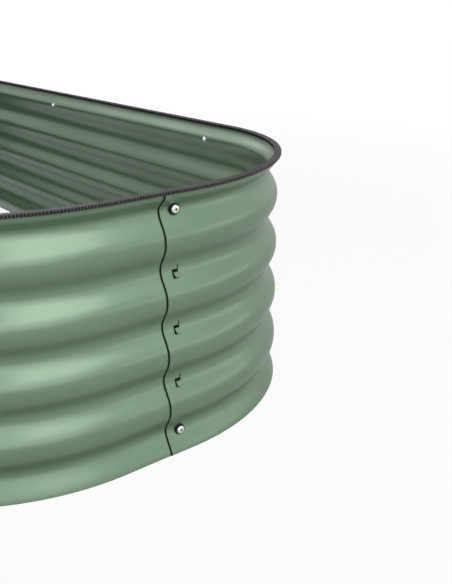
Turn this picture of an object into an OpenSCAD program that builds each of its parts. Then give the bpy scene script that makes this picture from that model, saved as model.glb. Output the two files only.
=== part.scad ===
// Raised garden bed: an oblong ring of ribbed sheet-metal panels with large rounded corners, open at the top
// and the bottom. Each panel laps over the end of the one before it. Bolts in the top and bottom valleys hold
// each lap, the outer panel has a hook bent out of each valley between them, and a ribbed rubber edging covers
// the rim.
// The bed stands on z = 0 about the origin, with its long sides along X.

/* [Plan] */
// Width over the crests of the two long walls
bed_w = 900; // [880:0.5:1000]
// Radius of the rounded corners, to the crests
corner_r = 386; // [330:0.2:400]
// Straight run of a corner panel from its curve to the bolts on the long side
side_run = 57; // [50:1:150]
// Length of a side panel from bolt line to bolt line
side_l = 691; // [400:1:1000]
// Straight run of a corner panel from its curve to the bolts on the end, on the shorter side of them
end_run = 20.6; // [10:0.2:40]

/* [Panel profile] */
// Thickness of the sheet
sheet_t = 0.8; // [0.6:0.1:1.5]
// Depth of the valleys below the crests
rib_depth = 16.6; // [10:0.2:20]
// Height from one valley to the next
rib_pitch = 90.8; // [80:0.1:100]
// Number of full bulges between the top valley and the bottom valley
bulges = 4; // [3:1:5]
// Height of the bottom valley above the ground
skirt_h = 36.2; // [30:0.2:50]
// Height of the lip that flares out above the top valley
lip_h = 24.4; // [18:0.2:30]
// Height of the upright rim above the lip
rim_h = 6; // [5:0.2:10]

/* [Laps] */
// How far the outer panel's end reaches past the bolts
outer_lap = 27; // [20:0.5:35]
// How far the inner panel's end reaches past the bolts
inner_lap = 20; // [14:0.5:22]

/* [Edging] */
// Width of the rubber edging
edging_w = 12.6; // [9:0.2:16]
// Height of the rubber edging
edging_h = 6.5; // [5:0.1:7.5]
// Thickness of rubber over the rim
edging_roof = 2; // [1.5:0.1:3]
// Rounding of the edging's corners
edging_r = 2; // [0.5:0.1:2.4]

/* [Fasteners] */
// Diameter of the bolts
bolt_d = 6; // [5:0.5:8]
// How far a bolt stands out of its nut
bolt_tail = 3; // [1:0.5:8]
// Diameter of the bolt head
head_d = 13.5; // [11:0.5:15]
// Height of the bolt head
head_h = 4; // [3:0.1:5]
// Diameter of the rubber washer
washer_d = 17.5; // [15.5:0.5:20]
// Thickness of the washer at its lower edge, above the slope of the bottom valley
washer_t = 0.1; // [0.1:0.1:1]
// Width across the flats of the nut
nut_w = 10; // [10:0.5:13]
// Height of the nut
nut_h = 5; // [4:0.1:7]
// How far the bottom bolts sit below their valley
bolt_drop = 2.6; // [0:0.2:4]

/* [Hooks] */
// Width of a hook
hook_w = 8.5; // [6:0.1:11]
// Length of the bent part of a hook
hook_l = 14; // [10:0.5:18]
// Angle that a hook is bent out from upright
hook_angle = 47; // [30:1:55]
// Depth of a hook's bend below its valley
hook_drop = 2.4; // [2:0.2:9]
// How far the slit beside a hook reaches above its valley
slit_rise = 5; // [2:0.5:8]

/* [Hidden] */
// Clearances and overruns
lap_gap = 0.25;
rim_gap = 0.25;
hole_gap = 0.3;
thread_gap = 0.05;
seat_gap = 0.03;
window_gap = 1.2;
cut = 1;
// Turns of the plan
quarter_angle = 90;
half_angle = 180;
// Steps along the curves of the outlines
skirt_steps = 6;
bulge_steps = 14;
lip_steps = 6;
round_steps = 5;
// The cross recess of a bolt head, as shares of the head
recess_w_share = 0.13;
recess_l_share = 0.52;
recess_depth_share = 0.55;
// The rim of a bolt head under its dome, as a share of the head's height
head_rim_share = 0.4;
// The chamfer on a nut's corners, as a share of the nut's height
nut_chamfer_share = 0.12;
// The root of a hook that stays in the sheet, as a share of the hook's drop
hook_root_share = 0.3;
// Height of the opening that a hook leaves in the sloping sheet, as a share of the hook's length
opening_share = 0.94;
// How deep a hook's root lies inside the sheet's two faces, as a share of the sheet
hook_sink_share = 0.1;

half_w = bed_w / 2;
half_l = corner_r + side_run + side_l;
end_flat = half_w - corner_r;
end_seam_off = end_flat - end_run;
lap_step = sheet_t + lap_gap;
top_valley_z = skirt_h + bulges * rib_pitch;
rim_z = top_valley_z + lip_h;
sheet_top_z = rim_z + rim_h;
bed_h = sheet_top_z + rim_gap + edging_roof;
bolt_rows = [skirt_h - bolt_drop, top_valley_z];
hook_rows = [for (k = [1:bulges - 1]) skirt_h + k * rib_pitch];
washer_face = face(bolt_rows[0] - washer_d / 2) + lap_step + seat_gap + washer_t;
nut_face = -rib_depth - sheet_t - seat_gap;
hole_d = bolt_d + 2 * hole_gap;

// The seams in order round the bed, counterclockwise from above: x, y and the turn of the outward direction
right_end = [half_l, end_seam_off, -quarter_angle];
back_right = [side_l, half_w, 0];
back_middle = [0, half_w, 0];
back_left = [-side_l, half_w, 0];
left_end = [-half_l, -end_seam_off, quarter_angle];
front_left = [-side_l, -half_w, half_angle];
front_middle = [0, -half_w, half_angle];
front_right = [side_l, -half_w, half_angle];

paint = [0.51, 0.60, 0.51];
rubber = [0.13, 0.13, 0.14];
steel = [0.75, 0.75, 0.76];

// Offset of the wall's outer face from the crests at a height z
function face(z) =
    z < skirt_h ? -rib_depth * (1 - cos(180 * z / skirt_h)) / 2
    : z < top_valley_z ? -rib_depth * (1 + cos(360 * (z - skirt_h) / rib_pitch)) / 2
    : z < rim_z ? -rib_depth * (1 + cos(180 * (z - top_valley_z) / lip_h)) / 2
    : 0;

heights = concat(
    [for (i = [0:skirt_steps - 1]) skirt_h * i / skirt_steps],
    [for (i = [0:bulges * bulge_steps - 1]) skirt_h + rib_pitch * i / bulge_steps],
    [for (i = [0:lip_steps - 1]) top_valley_z + lip_h * i / lip_steps],
    [rim_z, sheet_top_z]);

function face_line(shift) = [for (z = heights) [face(z) + shift, z]];
function back(list) = [for (i = [len(list) - 1:-1:0]) list[i]];
function arc(x, y, r, from) =
    [for (i = [0:round_steps]) let (a = from + quarter_angle * i / round_steps) [x + r * cos(a), y + r * sin(a)]];

// Section of the sheet, with its outer face on the profile
module wall_section() polygon(concat(face_line(0), back(face_line(-sheet_t))));

// Everything behind the outer panel's outer face at a seam
module behind_section() polygon(concat(face_line(lap_step + seat_gap),
    [[-2 * rib_depth - cut, sheet_top_z], [-2 * rib_depth - cut, 0]]));

// Section of the edging: an upside-down U over one or two sheets
module edging_section() {
    slot_in = -sheet_t - rim_gap;
    slot_out = lap_step + rim_gap;
    middle = (slot_in + slot_out) / 2;
    low = middle - edging_w / 2;
    high = middle + edging_w / 2;
    bottom = bed_h - edging_h;
    polygon(concat(
        [[slot_in, sheet_top_z + rim_gap], [slot_out, sheet_top_z + rim_gap], [slot_out, bottom]],
        arc(high - edging_r, bottom + edging_r, edging_r, -quarter_angle),
        arc(high - edging_r, bed_h - edging_r, edging_r, 0),
        arc(low + edging_r, bed_h - edging_r, edging_r, quarter_angle),
        arc(low + edging_r, bottom + edging_r, edging_r, half_angle),
        [[slot_in, bottom]]));
}

// A section swept from x = from to x = to, with its first axis along Y
module straight(from, to) translate([from, 0, 0]) rotate([90, 0, 90]) linear_extrude(to - from) children();

// A section swept through the quarter turn from +X to +Y about a corner's centre
module curved() rotate_extrude(angle = quarter_angle, $fn = 180) translate([corner_r, 0]) children();

// Places a child of a seam: local Y points out of the bed, local -X to the next panel
module at_seam(seam) translate([seam.x, seam.y, 0]) rotate([0, 0, seam.z]) children();

// A round bar along local Y through the wall
module through(d, from, to) translate([0, from, 0]) rotate([-90, 0, 0]) cylinder(d = d, h = to - from, $fn = 48);

module bolt_holes() for (z = bolt_rows) translate([0, 0, z])
    through(hole_d, -rib_depth - lap_step - cut, lap_step + cut);

// Openings that the hooks leave below their bends in an outer panel, with a slit that goes up on one side
module hook_openings() {
    w = hook_w + 2 * window_gap;
    deep = rib_depth + sheet_t + 2 * cut;
    for (z = hook_rows) translate([-w / 2, -rib_depth - sheet_t - cut, z - hook_drop]) {
        translate([0, 0, -hook_l * opening_share]) cube([w, deep, hook_l * opening_share]);
        cube([window_gap, deep, hook_drop + slit_rise]);
    }
}

// Hooks of an outer panel: tongues bent out and down from the sheet
module hooks() {
    sink = sheet_t * hook_sink_share;
    for (z = hook_rows) {
        root = z - hook_drop;
        held = root + hook_drop * hook_root_share;
        x_tip = face(root) + hook_l * sin(hook_angle);
        z_tip = root - hook_l * cos(hook_angle);
        straight(-hook_w / 2, hook_w / 2) polygon([
            [face(held) - sheet_t + sink, held], [face(held) - sink, held], [face(root), root], [x_tip, z_tip],
            [x_tip - sheet_t * cos(hook_angle), z_tip - sheet_t * sin(hook_angle)], [face(root) - sheet_t, root]]);
    }
}

// A corner panel about its curve's centre: it starts on the +X face, outside the panel before it, and ends
// on the +Y face, inside the next. The runs go from the curve to each bolt line.
module corner_panel(start_run, finish_run) color(paint) translate([lap_step, 0, 0]) {
    start_seam = [corner_r, -start_run, -quarter_angle];
    finish_seam = [-finish_run - lap_step, corner_r, 0];
    difference() {
        union() {
            curved() wall_section();
            translate([corner_r, 0, 0]) rotate([0, 0, -quarter_angle]) straight(0, start_run + outer_lap) wall_section();
            translate([0, corner_r, 0]) straight(-finish_run - lap_step - inner_lap, 0) wall_section();
        }
        at_seam(start_seam) bolt_holes();
        at_seam(start_seam) hook_openings();
        at_seam(finish_seam) bolt_holes();
    }
    at_seam(start_seam) hooks();
}

// A side panel from its start seam, where it lies outside the panel before it, to its finish seam
module side_panel(seam) color(paint) at_seam(seam) translate([0, lap_step, 0])
rotate([0, 0, asin(lap_step / side_l)]) {
    difference() {
        straight(-side_l - inner_lap, outer_lap) wall_section();
        bolt_holes();
        hook_openings();
        translate([-side_l, 0, 0]) bolt_holes();
    }
    hooks();
}

module corner_panel_back_right() translate([half_l - corner_r, half_w - corner_r, 0])
    corner_panel(end_run, side_run);
module corner_panel_back_left() translate([corner_r - half_l, half_w - corner_r, 0]) rotate([0, 0, quarter_angle])
    corner_panel(side_run, 2 * end_flat - end_run);
module corner_panel_front_left() rotate([0, 0, half_angle]) corner_panel_back_right();
module corner_panel_front_right() rotate([0, 0, half_angle]) corner_panel_back_left();

module rim_edging() color(rubber) for (turn = [0, half_angle]) rotate([0, 0, turn]) {
    translate([half_l - corner_r, half_w - corner_r, 0]) curved() edging_section();
    translate([half_l - corner_r, corner_r - half_w, 0]) rotate([0, 0, -quarter_angle]) curved() edging_section();
    translate([0, half_w, 0]) straight(corner_r - half_l, half_l - corner_r) edging_section();
    translate([half_l, 0, 0]) rotate([0, 0, -quarter_angle]) straight(-end_flat, end_flat) edging_section();
}

// Outline of a bolt's head from its seat, to be turned about its axis
module head_section() {
    rim = head_h * head_rim_share;
    r = head_d / 2;
    polygon(concat([[0, 0], [r, 0]],
        [for (i = [0:round_steps]) let (a = 90 * i / round_steps) [r * cos(a), rim + (head_h - rim) * sin(a)]]));
}

module bolts(seam) color(steel) at_seam(seam) for (z = bolt_rows) translate([0, washer_face + seat_gap, z]) {
    difference() {
        rotate([-90, 0, 0]) rotate_extrude($fn = 48) head_section();
        for (turn = [0, 90]) rotate([0, turn, 0])
            translate([-head_d * recess_l_share / 2, head_h * (1 - recess_depth_share), -head_d * recess_w_share / 2])
                cube([head_d * recess_l_share, head_h, head_d * recess_w_share]);
    }
    through(bolt_d, nut_face - nut_h - bolt_tail - washer_face - seat_gap, 0);
}

module washers(seam) color(rubber) at_seam(seam) difference() {
    for (z = bolt_rows) translate([0, 0, z]) through(washer_d, -rib_depth, washer_face);
    straight(-washer_d, washer_d) behind_section();
    for (z = bolt_rows) translate([0, 0, z]) through(hole_d, -rib_depth - cut, washer_face + cut);
}

// Outline of a nut's chamfered corners, to be turned about its axis
module nut_section() {
    tip = nut_w / sqrt(3);
    bevel = nut_h * nut_chamfer_share;
    polygon([[0, 0], [nut_w / 2, 0], [tip, bevel], [tip, nut_h - bevel], [nut_w / 2, nut_h], [0, nut_h]]);
}

module nuts(seam) color(steel) at_seam(seam) for (z = bolt_rows) translate([0, nut_face, z]) rotate([90, 0, 0])
difference() {
    intersection() {
        cylinder(d = 2 * nut_w / sqrt(3), h = nut_h, $fn = 6);
        rotate_extrude($fn = 48) nut_section();
    }
    translate([0, 0, -cut]) cylinder(d = bolt_d + 2 * thread_gap, h = nut_h + 2 * cut, $fn = 48);
}

corner_panel_back_right();
side_panel(back_right);  // side_panel_back_right
side_panel(back_middle);  // side_panel_back_left
corner_panel_back_left();
corner_panel_front_left();
side_panel(front_left);  // side_panel_front_left
side_panel(front_middle);  // side_panel_front_right
corner_panel_front_right();
rim_edging();
bolts(right_end);  // bolts_right_end
bolts(back_right);  // bolts_back_right
bolts(back_middle);  // bolts_back_middle
bolts(back_left);  // bolts_back_left
bolts(left_end);  // bolts_left_end
bolts(front_left);  // bolts_front_left
bolts(front_middle);  // bolts_front_middle
bolts(front_right);  // bolts_front_right
washers(right_end);  // washers_right_end
washers(back_right);  // washers_back_right
washers(back_middle);  // washers_back_middle
washers(back_left);  // washers_back_left
washers(left_end);  // washers_left_end
washers(front_left);  // washers_front_left
washers(front_middle);  // washers_front_middle
washers(front_right);  // washers_front_right
nuts(right_end);  // nuts_right_end
nuts(back_right);  // nuts_back_right
nuts(back_middle);  // nuts_back_middle
nuts(back_left);  // nuts_back_left
nuts(left_end);  // nuts_left_end
nuts(front_left);  // nuts_front_left
nuts(front_middle);  // nuts_front_middle
nuts(front_right);  // nuts_front_right
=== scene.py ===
"""Raised garden bed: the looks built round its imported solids."""

import logging
import math
from dataclasses import dataclass
from enum import Enum
from functools import cached_property
from typing import Any, Iterable, Sequence

import bmesh
import bpy
from mathutils import Matrix, Vector


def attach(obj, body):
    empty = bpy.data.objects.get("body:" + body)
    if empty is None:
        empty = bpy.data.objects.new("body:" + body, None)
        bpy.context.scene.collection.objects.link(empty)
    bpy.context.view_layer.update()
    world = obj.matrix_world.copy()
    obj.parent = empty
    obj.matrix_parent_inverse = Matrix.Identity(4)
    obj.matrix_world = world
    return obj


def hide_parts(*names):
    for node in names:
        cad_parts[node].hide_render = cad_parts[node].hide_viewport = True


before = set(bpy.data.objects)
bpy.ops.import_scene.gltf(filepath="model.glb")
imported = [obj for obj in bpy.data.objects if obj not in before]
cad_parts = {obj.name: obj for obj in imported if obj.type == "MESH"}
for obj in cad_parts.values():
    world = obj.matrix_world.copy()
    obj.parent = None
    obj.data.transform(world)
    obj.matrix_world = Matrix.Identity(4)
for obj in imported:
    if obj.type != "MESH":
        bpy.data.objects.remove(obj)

LOG = logging.getLogger("garden_bed")
BODY = "root"
MM = 0.001
QUARTER = math.pi / 2
HEIGHT_DIGITS = 7

Point = tuple[float, float]
Colour = tuple[float, float, float, float]

# Sizes


@dataclass(frozen=True)
class BedSizes:
    """Real sizes of the bed in metres, the same as the solids have.

    The last two are the looks' own: how much fuller than a cosine the bulges are, and how much straighter
    the skirt is.
    """

    width: float = 900 * MM
    corner_r: float = 386 * MM
    side_run: float = 57 * MM
    side_l: float = 691 * MM
    end_run: float = 20.6 * MM
    sheet_t: float = 0.8 * MM
    rib_depth: float = 16.6 * MM
    rib_pitch: float = 90.8 * MM
    bulges: int = 4
    skirt_h: float = 36.2 * MM
    lip_h: float = 24.4 * MM
    rim_h: float = 6 * MM
    outer_lap: float = 27 * MM
    inner_lap: float = 20 * MM
    edging_w: float = 12.6 * MM
    edging_h: float = 6.5 * MM
    edging_roof: float = 2 * MM
    lap_gap: float = 0.25 * MM
    rim_gap: float = 0.25 * MM
    bolt_drop: float = 2.6 * MM
    fullness: float = 1.25
    skirt_slope: float = 0.5

    @property
    def half_w(self) -> float:
        """Half the width over the crests."""
        return self.width / 2

    @property
    def half_l(self) -> float:
        """Half the length over the crests."""
        return self.corner_r + self.side_run + self.side_l

    @property
    def end_flat(self) -> float:
        """Half the straight part of an end."""
        return self.half_w - self.corner_r

    @property
    def end_seam_off(self) -> float:
        """Distance of an end's seam from the end's middle."""
        return self.end_flat - self.end_run

    @property
    def lap_step(self) -> float:
        """How far a lap's outer panel stands outside the inner one."""
        return self.sheet_t + self.lap_gap

    @property
    def top_valley_z(self) -> float:
        """Height of the top valley."""
        return self.skirt_h + self.bulges * self.rib_pitch

    @property
    def rim_z(self) -> float:
        """Height at which the flared lip turns upright."""
        return self.top_valley_z + self.lip_h

    @property
    def sheet_top_z(self) -> float:
        """Height of the sheet's top edge."""
        return self.rim_z + self.rim_h

    @property
    def bed_h(self) -> float:
        """Height of the edging's top."""
        return self.sheet_top_z + self.rim_gap + self.edging_roof

    @property
    def bolt_rows(self) -> tuple[float, float]:
        """Heights of the two bolts of a seam."""
        return (self.skirt_h - self.bolt_drop, self.top_valley_z)

    @property
    def hook_rows(self) -> tuple[float, ...]:
        """Heights of the valleys that hold hooks."""
        return tuple(self.skirt_h + k * self.rib_pitch for k in range(1, self.bulges))

    def face(self, z: float) -> float:
        """Offset of the wall's outer face from the crests.

        Args:
            z: Height above the ground.

        Returns:
            The offset, zero at a crest and negative in a valley.
        """
        if z < self.skirt_h:
            share = z / self.skirt_h
            curve = (1 - math.cos(math.pi * share)) / 2
            return -self.rib_depth * (curve + (share - curve) * self.skirt_slope)
        if z < self.top_valley_z:
            turn = 2 * math.pi * (z - self.skirt_h) / self.rib_pitch
            return -self.rib_depth * ((1 + math.cos(turn)) / 2) ** self.fullness
        if z < self.rim_z:
            turn = math.pi * (z - self.top_valley_z) / self.lip_h
            return -self.rib_depth * (1 + math.cos(turn)) / 2
        return 0.0


BED = BedSizes()


@dataclass(frozen=True)
class Seam:
    """A lap between two panels, as a place and a turn of the outward direction."""

    name: str
    x: float
    y: float
    turn: float

    def matrix(self) -> Matrix:
        """Local Y points out of the bed and local -X to the next panel."""
        return Matrix.Translation((self.x, self.y, 0)) @ Matrix.Rotation(self.turn, 4, "Z")


SEAMS = (
    Seam("right_end", BED.half_l, BED.end_seam_off, -QUARTER),
    Seam("back_right", BED.side_l, BED.half_w, 0),
    Seam("back_middle", 0, BED.half_w, 0),
    Seam("back_left", -BED.side_l, BED.half_w, 0),
    Seam("left_end", -BED.half_l, -BED.end_seam_off, QUARTER),
    Seam("front_left", -BED.side_l, -BED.half_w, math.pi),
    Seam("front_middle", 0, -BED.half_w, math.pi),
    Seam("front_right", BED.side_l, -BED.half_w, math.pi),
)

# Shader graphs


class Wire:
    """A shader socket with arithmetic, each operator adding a Math node."""

    def __init__(self, graph: "Graph", socket: bpy.types.NodeSocket) -> None:
        """Wraps a socket of a graph."""
        self.graph = graph
        self.socket = socket

    def _math(self, operation: str, *values: "Wire | float") -> "Wire":
        """Adds a Math node with this operation."""
        return self.graph.node("ShaderNodeMath", {"operation": operation}, dict(enumerate(values)))

    def __add__(self, other: "Wire | float") -> "Wire":
        """self + other."""
        return self._math("ADD", self, other)

    __radd__ = __add__

    def __sub__(self, other: "Wire | float") -> "Wire":
        """self - other."""
        return self._math("SUBTRACT", self, other)

    def __rsub__(self, other: float) -> "Wire":
        """other - self."""
        return self._math("SUBTRACT", other, self)

    def __mul__(self, other: "Wire | float") -> "Wire":
        """self * other."""
        return self._math("MULTIPLY", self, other)

    __rmul__ = __mul__

    def ramp(self, low: float, high: float, to_low: float = 0.0, to_high: float = 1.0) -> "Wire":
        """Maps a range smoothly onto another and clamps it.

        Args:
            low: Start of the range read.
            high: End of the range read.
            to_low: Value at the start.
            to_high: Value at the end.

        Returns:
            The mapped value.
        """
        return self.graph.node(
            "ShaderNodeMapRange",
            {"interpolation_type": "SMOOTHSTEP"},
            {"Value": self, "From Min": low, "From Max": high, "To Min": to_low, "To Max": to_high},
        )


class Graph:
    """Node tree of one material or world, built from short expressions."""

    def __init__(self, owner: bpy.types.Material | bpy.types.World) -> None:
        """Empties the node tree of a material or world.

        Args:
            owner: What the tree belongs to.
        """
        owner.use_nodes = True
        self.owner = owner
        self.tree = owner.node_tree
        self.tree.nodes.clear()

    @classmethod
    def of_material(cls, name: str) -> "Graph":
        """Starts a new material."""
        return cls(bpy.data.materials.new(name))

    @cached_property
    def coords(self) -> Wire:
        """The piece's own coordinates."""
        return self.node("ShaderNodeTexCoord", output="Object")

    def node(
        self,
        kind: str,
        settings: dict[str, Any] | None = None,
        inputs: dict[Any, Any] | None = None,
        output: Any = 0,
    ) -> Wire | None:
        """Adds a node.

        Args:
            kind: The node's type.
            settings: Attributes, set before the sockets.
            inputs: Values or wires by socket name or number.
            output: Name or number of the output that is handed back.

        Returns:
            The wrapped output, or nothing for a node that ends the graph.
        """
        made = self.tree.nodes.new(kind)
        for key, value in (settings or {}).items():
            setattr(made, key, value)
        for key, value in (inputs or {}).items():
            if isinstance(value, Wire):
                self.tree.links.new(value.socket, made.inputs[key])
            else:
                made.inputs[key].default_value = value
        return Wire(self, made.outputs[output]) if made.outputs else None

    def noise(self, scale: float, detail: float = 2.0, roughness: float = 0.5) -> Wire:
        """Noise of a scale per metre."""
        inputs = {"Vector": self.coords, "Scale": scale, "Detail": detail, "Roughness": roughness}
        return self.node("ShaderNodeTexNoise", {}, inputs)

    def attribute(self, name: str) -> Wire:
        """A value that the mesh carries."""
        return self.node("ShaderNodeAttribute", {"attribute_name": name}, output="Fac")

    def mix(self, mask: Wire | float, a: Wire | Colour, b: Wire | Colour) -> Wire:
        """Mixes two colours by a mask."""
        return self.node("ShaderNodeMix", {"data_type": "RGBA"}, {0: mask, 6: a, 7: b}, output=2)

    def vector(self, operation: str, *values: Any, output: str = "Vector") -> Wire:
        """Adds a Vector Math node with this operation."""
        return self.node("ShaderNodeVectorMath", {"operation": operation}, dict(enumerate(values)), output)

    def bump(self, height: Wire, strength: float, distance: float, normal: Wire | None = None) -> Wire:
        """Bumps a normal.

        Args:
            height: Height of the surface, from 0 to 1.
            strength: Share of the bump that shows.
            distance: Real height of the bump.
            normal: Normal that is bumped, where it isn't the plain one.

        Returns:
            The bumped normal.
        """
        inputs: dict[str, Any] = {"Height": height, "Strength": strength, "Distance": distance}
        if normal is not None:
            inputs["Normal"] = normal
        return self.node("ShaderNodeBump", {}, inputs)

    def surface(self, **sockets: Any) -> bpy.types.Material:
        """Ends a material in a Principled shader.

        Args:
            sockets: Values or wires, by socket name with _ for a space.

        Returns:
            The finished material.
        """
        inputs = {key.replace("_", " "): value for key, value in sockets.items()}
        shader = self.node("ShaderNodeBsdfPrincipled", {}, inputs)
        self.node("ShaderNodeOutputMaterial", {}, {"Surface": shader})
        return self.owner


def rgb(r: float, g: float, b: float) -> Colour:
    """A linear colour with full alpha."""
    return (r, g, b, 1.0)


def grey(value: float) -> Colour:
    """A linear grey with full alpha."""
    return rgb(value, value, value)


# Finishes


@dataclass(frozen=True)
class SagePaint:
    """Satin powder coat on sheet steel, with dark cut edges and painted shade: a painted shadow along the
    seams, painted shade behind the hook openings and a painted shadow at each tongue's bend.
    """

    base: Colour = rgb(0.205, 0.315, 0.210)
    shade: Colour = rgb(0.180, 0.285, 0.186)
    # Colour of the dark band: a bare cut edge widened into a painted shadow of the seam gap. It is also the
    # painted shade behind the openings and the painted shadow at the tongues' bends.
    cut: Colour = rgb(0.006, 0.010, 0.006)
    speck: Colour = rgb(0.30, 0.42, 0.30)
    speck_share: float = 0.12
    roughness: float = 0.32
    cloud_roughness: float = 0.06
    cut_roughness: float = 0.3
    metallic: float = 0.24
    edge_line: float = 3.5 * MM
    edge_core: float = 0.75
    cloud_scale: float = 5.0
    speck_scale: float = 900.0
    peel_scale: float = 420.0
    peel_height: float = 0.08 * MM
    speck_height: float = 0.03 * MM

    def material(self) -> bpy.types.Material:
        """Builds the paint: faint clouds of tone, a fine orange peel, and dark cut edges widened into painted
        shadow and painted shade.

        Returns:
            The material.
        """
        g = Graph.of_material("sage_powder_coat")
        clouds = g.noise(self.cloud_scale, detail=3.0)
        specks = g.noise(self.speck_scale)
        peel = g.noise(self.peel_scale, roughness=0.55)
        # Painted shade: the paint turns dark where the mesh's edge distance is small, at the seams, behind
        # the openings and at the tongues' bends.
        edge = g.attribute("edge_distance").ramp(self.edge_line * self.edge_core, self.edge_line, 1.0, 0.0)
        tone = g.mix(clouds.ramp(0.3, 0.7), self.base, self.shade)
        tone = g.mix(specks.ramp(0.62, 0.8) * self.speck_share, tone, self.speck)
        tone = g.mix(edge, tone, self.cut)
        normal = g.bump(peel, 0.10, self.peel_height)
        return g.surface(
            Base_Color=tone,
            # The painted shade is fully metallic, so that it reflects little and stays black.
            Metallic=self.metallic + edge * (1 - self.metallic),
            Roughness=self.roughness + (clouds - 0.5) * self.cloud_roughness + edge * self.cut_roughness,
            Normal=g.bump(specks, 0.05, self.speck_height, normal),
        )


@dataclass(frozen=True)
class Rubber:
    """Black rubber, matt, with a fine moulded grain, a paler bloom and painted shade where the mesh marks it.
    """

    name: str
    base: Colour
    bloom: Colour
    roughness: float
    grain_roughness: float = 0.2
    shine: float = 0.25
    # Colour of the painted shade in the edging's pits and down its inner side.
    pit: Colour = grey(0.003)
    cloud_scale: float = 60.0
    grain_scale: float = 1800.0
    grain_height: float = 0.08 * MM

    def material(self) -> bpy.types.Material:
        """Builds the rubber.

        Returns:
            The material.
        """
        g = Graph.of_material(self.name)
        cloud = g.noise(self.cloud_scale, detail=3.0)
        grain = g.noise(self.grain_scale)
        tone = g.mix(cloud.ramp(0.35, 0.75), self.base, self.bloom)
        return g.surface(
            # Painted shade where the mesh marks it.
            Base_Color=g.mix(g.attribute("pit"), tone, self.pit),
            Roughness=self.roughness + (grain - 0.5) * self.grain_roughness,
            Specular_IOR_Level=self.shine,
            Normal=g.bump(grain, 0.3, self.grain_height),
        )


@dataclass(frozen=True)
class ZincSteel:
    """Bright zinc plate on turned steel, with painted shade in the head's recess."""

    base: Colour = grey(0.92)
    dull: Colour = rgb(0.70, 0.70, 0.71)
    # Colour of the painted shade in a bolt head's recess.
    pit: Colour = grey(0.04)
    roughness: float = 0.28
    spangle_roughness: float = 0.18
    spangle_scale: float = 700.0
    mark_scale: float = 2600.0
    mark_height: float = 0.04 * MM

    def material(self) -> bpy.types.Material:
        """Builds the plate: spangled tone and fine turning marks.

        Returns:
            The material.
        """
        g = Graph.of_material("zinc_plate")
        spangle = g.noise(self.spangle_scale)
        marks = g.noise(self.mark_scale, detail=1.0)
        tone = g.mix(spangle.ramp(0.45, 0.75), self.base, self.dull)
        return g.surface(
            # Painted shade where the mesh marks it.
            Base_Color=g.mix(g.attribute("pit"), tone, self.pit),
            Metallic=1.0,
            Roughness=self.roughness + (spangle - 0.5) * self.spangle_roughness,
            Normal=g.bump(marks, 0.15, self.mark_height),
        )


class Finish(Enum):
    """The finishes of the bed, each with the record's slot it answers to."""

    PAINT = "painted_sheet"
    EDGING = "rim_rubber"
    WASHER = "washer_rubber"
    ZINC = "zinc_steel"


class Finishes:
    """Makes each finish's material once."""

    def __init__(self) -> None:
        """Builds every material."""
        edging = Rubber("edging_rubber", rgb(0.080, 0.074, 0.079), rgb(0.125, 0.117, 0.123), 0.6)
        washer = Rubber("washer_rubber", grey(0.003), grey(0.007), 0.75)
        self.made: dict[Finish, bpy.types.Material] = {
            Finish.PAINT: SagePaint().material(),
            Finish.EDGING: edging.material(),
            Finish.WASHER: washer.material(),
            Finish.ZINC: ZincSteel().material(),
        }

    def __getitem__(self, finish: Finish) -> bpy.types.Material:
        """The material of a finish."""
        return self.made[finish]


# Mesh helpers


def mesh_object(name: str, mesh: bpy.types.Mesh) -> bpy.types.Object:
    """Links a mesh into the scene as an object at the origin.

    Args:
        name: The object's name.
        mesh: Its mesh.

    Returns:
        The object.
    """
    made = bpy.data.objects.new(name, mesh)
    bpy.context.scene.collection.objects.link(made)
    return made


def as_mesh(bm: bmesh.types.BMesh, name: str) -> bpy.types.Mesh:
    """Turns a mesh that is being edited into a plain one.

    Args:
        bm: The edited mesh, which is freed.
        name: The plain mesh's name.

    Returns:
        The plain mesh.
    """
    mesh = bpy.data.meshes.new(name)
    bm.to_mesh(mesh)
    bm.free()
    return mesh


def shaded(bm: bmesh.types.BMesh, name: str, angle: float = math.radians(35)) -> bpy.types.Mesh:
    """Turns a mesh that is being edited into a plain one, smooth but for its sharp edges.

    Args:
        bm: The edited mesh, which is freed.
        name: The plain mesh's name.
        angle: Angle from which an edge is sharp.

    Returns:
        The plain mesh.
    """
    mesh = as_mesh(bm, name)
    bm = bmesh.new()
    bm.from_mesh(mesh)
    for f in bm.faces:
        f.smooth = True
    for e in bm.edges:
        e.smooth = not (e.is_manifold and e.calc_face_angle(0.0) > angle)
    bm.to_mesh(mesh)
    bm.free()
    return mesh


def settle(piece: bpy.types.Object, node: str) -> None:
    """Rides a finished piece on the bed and hides the solid that it stands for.

    Args:
        piece: The piece, in place.
        node: The solid that it replaces.
    """
    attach(piece, BODY)
    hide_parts(node)
    LOG.info("%s: %d faces", piece.name, len(piece.data.polygons))


def turns(count: int) -> list[float]:
    """Even angles round an axis."""
    return [2 * math.pi * i / count for i in range(count)]


def spoke(reach: float, y: float, angle: float) -> tuple[float, float, float]:
    """The point at a distance and an angle from local Y."""
    return (reach * math.cos(angle), y, reach * math.sin(angle))


def bridge(
    bm: bmesh.types.BMesh, rings: Sequence[Sequence[bmesh.types.BMVert]], closed: bool = False
) -> list[bmesh.types.BMFace]:
    """Joins each ring of a mesh to the next.

    Args:
        bm: The mesh.
        rings: Rings of equally many vertices, or of one at a pole.
        closed: True where the last ring meets the first.

    Returns:
        The new faces.
    """
    made = []
    for one, two in zip(rings, [*rings[1:], *rings[: 1 if closed else 0]]):
        count = max(len(one), len(two))
        for i in range(count):
            j = (i + 1) % count
            quad = [one[i % len(one)], one[j % len(one)], two[j % len(two)], two[i % len(two)]]
            made.append(bm.faces.new(list(dict.fromkeys(quad))))
    return made


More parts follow.
